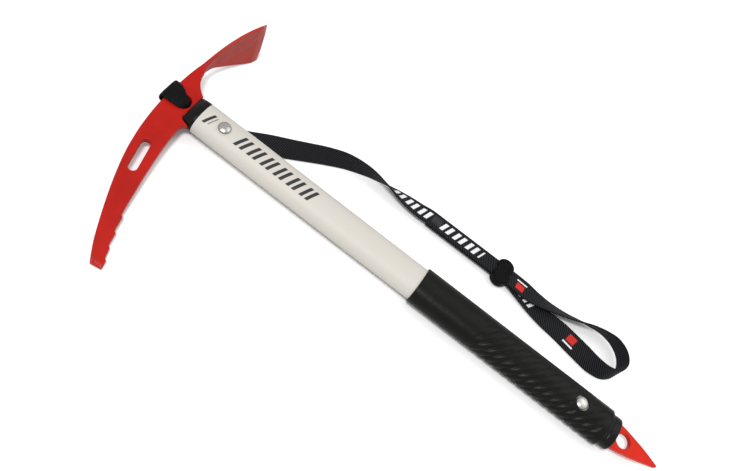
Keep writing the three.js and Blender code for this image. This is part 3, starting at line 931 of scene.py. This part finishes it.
def dome(height, side):
    """A rivet head's profile from its middle to its rim; side is 1 in front and -1 behind."""
    rim = side * (RIVET_SEAT + 0.5)
    angles = [math.pi / 2 * i / 12 for i in range(13)]
    return [(RIVET_HEAD * math.sin(a), rim + side * height * math.cos(a)) for a in angles]


def make_rivet(name, x):
    shank = RIVET_HEAD / 2
    under = [(RIVET_HEAD, RIVET_SEAT + 0.2), (RIVET_HEAD - 0.2, RIVET_SEAT), (shank, RIVET_SEAT)]
    mirrored = [(r, -h) for r, h in under[::-1]]
    verts, faces = lathe([*dome(2.1, 1), *under, *mirrored, *dome(1.0, -1)[::-1]])
    return add(name + "_dome", verts, faces, place=TOOL @ Matrix.Translation((x * MM, 0, 0)))


def tang_slot(reach, thickness):
    """The slot a tang passes through, for cutting."""
    y, z = TANG_HALF_WIDTH + TANG_GAP, thickness / 2 + TANG_GAP
    return box_mesh(reach, (-y, y), (-z, z))


def make_collar():
    a, b = COLLAR
    stations = []
    for i in range(25):
        t = i / 24
        swell = 1 - (1 - t) ** 2.2
        edge = 0.7 * max(0, 1 - t / 0.05) + 0.6 * max(0, (t - 0.95) / 0.05)
        half = [size + growth * swell for size, growth in zip(COLLAR_OVAL, COLLAR_SWELL)]
        stations.append((a + (b - a) * t, shrunk(half, edge)))
    # room for the head's foot, which flares out on the pick's side
    flare = [(20, -24), (20, -11.7), (25.2, -11.7), (26.8, -13.7), (31.2, -15.1), (34.8, -16.3), (36, -24)]
    clearance = loft([[(x, y, z) for x, y in flare] for z in (-20, 20)])
    slot = tang_slot((10, 50), HEAD_THICKNESS)
    return forged("collar", loft(oval_body(stations)), 0.4, (slot, clearance))


def make_ferrule():
    a, b = FERRULE
    half = shrunk(TUBE_OVAL, 0.2)
    groove = shrunk(half, 0.35)
    stations = [
        (a, shrunk(half, 0.3)), (a + 0.3, half), (a + 2.2, half),
        (a + 2.6, groove), (a + 3.1, groove), (a + 3.5, half),
        (b - 2.2, half), (b - 0.9, shrunk(half, 0.6)), (b, shrunk(half, 1.9)),
    ]
    return forged("ferrule", loft(oval_body(stations)), 0.4, (tang_slot((480, 520), SPIKE_TANG_THICKNESS),))


def make_spike():
    end = TOTAL_LENGTH
    pen = Outline(SPIKE_ROOT, -13).curve((528, -8.3), (end - 0.4, -1.2))
    pen.curve((end + 1, 0), (end - 0.4, 1.2), count=8).curve((528, 8.3), (SPIKE_ROOT, 13))
    verts, faces = plate("spike", [pen.points, circle(*SPIKE_EYE)], SPIKE_THICKNESS, 0.8)
    thinned = [(x, y, z * (1 - 0.25 * smoothstep(end - 20, end, x))) for x, y, z in verts]
    half, deep = TANG_HALF_WIDTH, SPIKE_TANG_THICKNESS / 2
    tang = box_mesh(SPIKE_TANG, (-half, half), (-deep, deep))
    bore = rod(RIVET_PLACES["spike_rivet"], 0, RIVET_BORE, 8)
    return forged("spike_blade", joined((thinned, faces), tang), 0.4, (bore,))


def ring_reach(ring):
    """Distance of each point round the ring from its pick side, where y is lowest, in mm."""
    count = len(ring)
    half = count // 2
    reach = [0.0] * count
    for side in (1, -1):
        total = 0.0
        for k in range(1, half + 1):
            j, last = (half + side * k) % count, (half + side * (k - 1)) % count
            total += math.dist(ring[j], ring[last])
            reach[j] = total
    return reach


def make_grip():
    """The sleeve, its ribs running in slanted from the pick side of both faces."""
    count = 176
    ring = oval(GRIP_OVAL, count)
    reach = ring_reach(ring)
    rivet = RIVET_PLACES["spike_rivet"]
    shoulder_x, shoulder_y = RIB_SHOULDER
    shoulder = min(range(count // 2), key=lambda j: abs(ring[j][0] - shoulder_y))
    start = shoulder_x - reach[shoulder] / RIB_SLANT
    a, b = GRIP
    xs = [a, a + 0.15, a + 0.5] + [a + 0.5 + 0.62 * i for i in range(1, 336)]
    xs = [x for x in xs if x < b - 0.9] + [b - 0.8, b - 0.3, b]
    rings, depths = [], []
    for x in xs:
        draw = 0.6 * (1 - smoothstep(a, a + 0.6, x)) + 0.7 * smoothstep(b - 0.9, b, x)
        fade = smoothstep(*RIB_START, x) * (1 - smoothstep(*RIB_END, x))
        points = []
        for j, (y, z) in enumerate(ring):
            phase = (x - start - reach[j] / RIB_SLANT) / RIB_PITCH
            here = fade * (1 - 0.6 * smoothstep(*RIB_EASES, y)) * (1 - 0.9 * smoothstep(*RIB_FADES, y))
            clear = smoothstep(*RIVET_CLEARANCE, math.hypot(x - rivet, y))
            groove = here * clear * (1 - abs(math.cos(math.pi * phase))) ** 1.7
            scale = 1 - (RIB_DEPTH * groove + draw) / math.hypot(y, z)
            points.append((x, y * scale, z * scale))
            depths.append(groove)
        rings.append(points)
    inner = oval(shrunk(TUBE_OVAL, -0.3), count)
    for x in (b, a):
        rings.append([(x, y, z) for y, z in inner])
        depths += [0.0] * count
    obj = add("grip", *loft(rings, looped=True), scale=1)
    layer = obj.data.attributes.new("groove", "FLOAT", "POINT")
    if len(depths) == len(obj.data.vertices):
        layer.data.foreach_set("value", depths)
    cut(obj, rod(rivet, 0, RIVET_HEAD + 0.7, 20))
    obj.data.transform(Matrix.Scale(MM, 4))
    for face in obj.data.polygons:
        face.use_smooth = True
    obj.data.transform(TOOL)
    return obj


ANCHOR_PATH = [  # x, z of the tape's middle, its width, its middle in y, its arch, all in mm
    (24.2, -10.9, 18.5, 3.0, 0.0), (19, -9.3, 18.5, 2.8, 0.0), (13, -7.3, 19, 2.6, 0.1),
    (6.5, -5.9, 20.4, 2.4, 0.3), (1.2, -5.4, 21.6, 2.1, 0.3), (-2.6, -3.6, 22.4, 1.9, 0.2),
    (-3.7, 0, 22.6, 1.8, 0.0), (-2.6, 3.7, 22.4, 1.7, 0.2), (1.2, 5.4, 22.0, 1.5, 0.5),
    (5.0, 6.2, 21.0, 1.0, 0.8), (9, 6.6, 19.0, 0.2, 1.1), (13.0, 6.6, 16.2, -0.9, 1.3),
    (16.8, 5.8, 13.0, -1.7, 1.2), (19.4, 3.2, 10.4, -1.3, 1.0), (19.4, -1.6, 10, 0.4, 0.6),
    (19.4, -5.6, 12, 1.9, 0.3), (21.4, -7.6, 14.5, 2.6, 0.1), (24.4, -8.5, 16, 3.0, 0.0),
]


def anchor_ring(point, out, width, middle, arch, travelled, columns=20):
    """The tape's section at one place, creased where it is gathered, and its strap coordinates."""
    thick = 2.0 + 1.3 * smoothstep(16, 8.5, width) if width < 16 else 2.0
    gather = 1 - smoothstep(10, 18, width)
    verts, marks = [], []
    for side in (1, -1):
        for j in range(columns + 1):
            a = side * math.sin(math.pi / 2 * (2 * j / columns - 1))
            edge = abs(a)
            lift = arch * (1 - a * a) - arch * 0.5
            crease = 0.35 * gather * math.cos(a * 7.5 + 0.6 * math.sin(travelled * 0.5))
            weave = 0.06 * math.cos(2 * math.pi * travelled / 1.7)
            height = thick / 2 * (1 - edge ** 8) ** 0.5 + (crease + weave) * (1 - edge ** 4)
            p = point + out * (lift + side * height)
            verts.append((p.x, middle + a * width / 2, p.z))
            marks.append((travelled * MM, a * width / 2 * MM))
    return verts, marks


def make_anchor(count=230):
    """Tape from the leash over the top of the head and back through its hole, gathered as it goes in."""
    stops = [(x, 0, z, 0) for x, z, *_ in ANCHOR_PATH]
    rings, marks = [], []
    travelled, last = 0.0, None
    for i in range(count + 1):
        t = i / count
        point = centripetal(stops, t)[0]
        ahead, behind = centripetal(stops, min(t + 0.004, 1))[0], centripetal(stops, max(t - 0.004, 0))[0]
        along = (ahead - behind).normalized()
        out = Vector((-along.z, 0, along.x))
        place = t * (len(ANCHOR_PATH) - 1)
        k = min(int(place), len(ANCHOR_PATH) - 2)
        w = smoothstep(0, 1, place - k)
        shape = [a * (1 - w) + b * w for a, b in zip(ANCHOR_PATH[k][2:], ANCHOR_PATH[k + 1][2:])]
        travelled += (point - last).length if last else 0
        last = point
        ring, ring_marks = anchor_ring(point, out, *shape, travelled)
        rings.append(ring)
        marks += ring_marks
    verts, faces = loft(rings)
    obj = bpy.data.objects.new("anchor_tape", bpy.data.meshes.new("anchor_tape"))
    obj.data.from_pydata([Vector(v) * MM for v in verts], [], faces)
    bpy.context.scene.collection.objects.link(obj)
    chart_strap(obj, marks)
    tidy(obj)
    obj.data.transform(TOOL)
    return obj


def on_strap(x, lift=0.0):
    """A place on the doubled stretch, tilted with it, at x and lifted off its middle, both in mm."""
    tilt = Matrix.Rotation(math.radians(-LEASH_TILT), 4, "X")
    line = Matrix.Translation((x * MM, LEASH_LINE[0] * MM, LEASH_LINE[1] * MM))
    return line @ tilt @ Matrix.Translation((0, 0, lift * MM))


def make_slider():
    """The keeper: a rounded block with a slot for both layers, a dished face and a lip round each end."""
    length, width, thick = SLIDER["length"], SLIDER["width"], SLIDER["thickness"]
    r, straight = length / 2, width / 2 - length / 2
    outline = arc(0, straight, r, 0, math.pi, 32) + arc(0, -straight, r, math.pi, 2 * math.pi, 32)
    body = plate("keeper", [outline], thick, SLIDER["bevel"])
    wide, high = STRAP_WIDTH / 2 + SLOT_GAP, LAYER_OFFSET + STRAP_THICKNESS / 2 + SLOT_GAP
    slot = box_mesh((-20, 20), (-wide, wide), (-high, high))
    waist = [rod(side * SLIDER_WAIST["y"], 0, SLIDER_WAIST["radius"], 20, 48) for side in (1, -1)]
    x, y, floor = SLIDER_DISH["x"], SLIDER_DISH["y"], SLIDER_DISH["floor"]
    dish = [box_mesh((-x, x), (-y, y), (side * floor, side * thick)) for side in (1, -1)]
    tools = (slot, *waist, *dish)
    return forged("keeper", body, 0.34, tools, passes=((3, None),), place=on_strap(SLIDER["x"]))


def thread_tube(path):
    """A thread along a path in x and y, bobbing slightly as it goes through the cloth."""
    dense = []
    for (x0, y0), (x1, y1) in zip(path, path[1:]):
        dense += [(x0 + (x1 - x0) * k / 14, y0 + (y1 - y0) * k / 14) for k in range(14)]
    dense.append(path[-1])
    wide, high = THREAD_RADII
    rings = []
    for i, (x, y) in enumerate(dense):
        x1, y1 = dense[min(i + 1, len(dense) - 1)]
        x0, y0 = dense[max(i - 1, 0)]
        along = Vector((x1 - x0, y1 - y0, 0)).normalized()
        side = Vector((-along.y, along.x, 0))
        middle = Vector((x, y, 0.07 * math.cos(i * math.pi / 7)))
        up = Vector((0, 0, 1))
        angles = [2 * math.pi * j / 10 for j in range(10)]
        rings.append([middle + side * wide * math.cos(a) + up * high * math.sin(a) for a in angles])
    return loft(rings)


def make_bartack():
    """Thread back and forth across the end of the return strand, between two straight borders."""
    length, width, border = BARTACK["half_length"], BARTACK["half_width"], BARTACK["border"]
    steps = BARTACK["turns"] * 2
    zigzag = [(-length + 2 * length * i / steps, width * (1 if i % 2 else -1)) for i in range(steps + 1)]
    borders = [[(-length * side, side * border), (length * side, side * border)] for side in (-1, 1)]
    tubes = [thread_tube(path) for path in (*borders, zigzag)]
    lift = LAYER_OFFSET + STRAP_THICKNESS / 2 + 0.42
    return add("bartack_thread", *joined(*tubes), place=on_strap(BARTACK["x"], lift))


HEAD_PAINT = adze_paint((0.31, 0.0065, 0.003))
# The spike's red is the head's coat made lighter: painted light for the more brightly lit spike.
SPIKE_PAINT = red_paint("painted_spike", (0.48, 0.013, 0.003), 0.5).material
BLACK_PLASTIC = plastic("black_plastic", (0.004, 0.004, 0.0042), 0.24, 0.4, 0.12)
KEEPER_PLASTIC = plastic("keeper_plastic", (0.0028, 0.0028, 0.0028), 0.36, 0.55, 0.05)
STEEL = steel()
THREAD = thread_finish()

dress(make_head(), HEAD_PAINT, "axe", "painted_head", "head")
dress(make_tube(), white_coat(), "axe", "painted_shaft", "shaft_tube")
dress(make_collar(), BLACK_PLASTIC, "axe", "black_plastic", "head_collar")
dress(make_ferrule(), BLACK_PLASTIC, "axe", "black_plastic", "end_ferrule")
dress(make_spike(), SPIKE_PAINT, "axe", "painted_spike", "spike")
dress(make_grip(), rubber(), "axe", "grip_rubber", "grip_sleeve")
for node, where in RIVET_PLACES.items():
    dress(make_rivet(node, where), STEEL, "axe", "rivet_steel", node)
dress(make_anchor(), anchor_cloth(), "axe", "webbing", "anchor_loop")
keeper = dress(make_slider(), KEEPER_PLASTIC, "keeper", "keeper_plastic", "strap_slider")
bartack = dress(make_bartack(), THREAD, "axe", "thread", "loop_bartack")
for node in ("tang_packer_front", "tang_packer_back", "spike_packer_front", "spike_packer_back"):
    slots = frame["nodes"][node].data.materials
    slots.clear()
    slots.append(BLACK_PLASTIC)


# ================================================================ floor and light
def make_floor():
    verts, faces = box_mesh((-6, 6), (-6, 6), (-0.02, -0.0002))
    floor = add("floor", verts, faces, scale=1)
    f = Finish("floor", (FLOOR_TONE,) * 3, 0.9, 0.1)
    f.colour_to(f.mix(f.noise(3, 2, 0.5), (FLOOR_TONE - 0.01,) * 3, (FLOOR_TONE + 0.01,) * 3))
    floor.data.materials.append(f.material)


def make_light(name, place, size, power):
    """A round lamp that faces the middle of the ground."""
    data = bpy.data.lights.new(name, "AREA")
    data.shape = "DISK"
    data.size = size
    data.energy = power
    light = bpy.data.objects.new(name, data)
    bpy.context.scene.collection.objects.link(light)
    light.location = place
    light.rotation_euler = (-Vector(place)).to_track_quat("-Z", "Y").to_euler()


def make_world():
    world = bpy.data.worlds.new("studio")
    world.use_nodes = True
    background = world.node_tree.nodes["Background"]
    background.inputs[0].default_value = (1, 1, 1, 1)
    background.inputs[1].default_value = WORLD_STRENGTH
    bpy.context.scene.world = world
    bpy.context.scene.view_settings.view_transform = "Standard"


make_floor()
make_world()
make_light("key", **KEY_LIGHT)
make_light("fill", **FILL_LIGHT)
